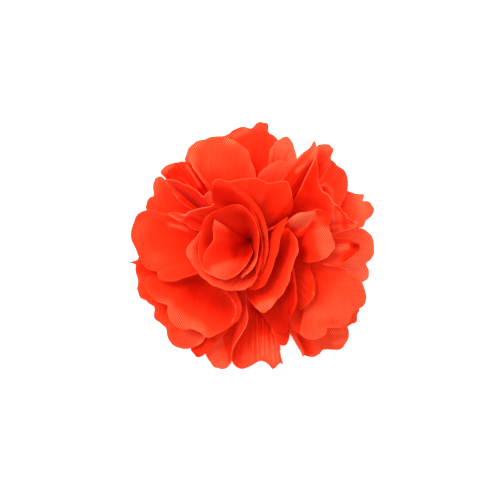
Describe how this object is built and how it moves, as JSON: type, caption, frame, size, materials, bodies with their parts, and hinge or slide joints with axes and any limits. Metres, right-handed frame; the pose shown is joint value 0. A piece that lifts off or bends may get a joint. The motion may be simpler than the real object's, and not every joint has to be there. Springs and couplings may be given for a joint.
{
  "type": "flower corsage",
  "caption": "Satin fabric flower corsage with layered scalloped petals round a rolled bud, on a felt pad with a plain bar pin.",
  "frame": {"origin": "middle of the flower's bounding box in plan, on the surface that it lies on", "axes": "+Z out of the flower's face, +Y towards its top as pictured, +X to the right as seen from the front"},
  "size_m": [0.0876, 0.0891, 0.0365],
  "materials": {
    "satin": "orange red satin, softly glossy",
    "felt": "red felt, matte",
    "steel": "plain nickel plated"
  },
  "bodies": {
    "root": {"bud_heart": "satin", "bud_wrap_1": "satin", "bud_wrap_2": "satin", "bud_wrap_3": "satin", "bud_lip": "satin", "bud_flap": "satin", "bud_leaf": "satin", "collar_petal": "satin", "long_leaf": "satin", "petal_shadow": "satin", "petal_bright": "satin", "petal_folded": "satin", "petal_left": "satin", "petal_lower_left": "satin", "petal_low_fold": "satin", "petal_tongue": "satin", "petal_lower_right": "satin", "petal_pocket": "satin", "petal_spike": "satin", "petal_top_small": "satin", "petal_top": "satin", "petal_pleat": "satin", "petal_upper_left": "satin", "rim_left": "satin", "rim_lower_left": "satin", "rim_fold_low": "satin", "petal_low": "satin", "rim_low_right": "satin", "rim_right_low": "satin", "rim_lower_right": "satin", "rim_right": "satin", "rim_right_high": "satin", "rim_right_up": "satin", "rim_upper_right": "satin", "rim_top_right": "satin", "rim_top": "satin", "rim_top_left": "satin", "petal_pleat_back": "satin", "felt_pad": "felt", "bar_pin": "steel"}
  },
  "joints": []
}
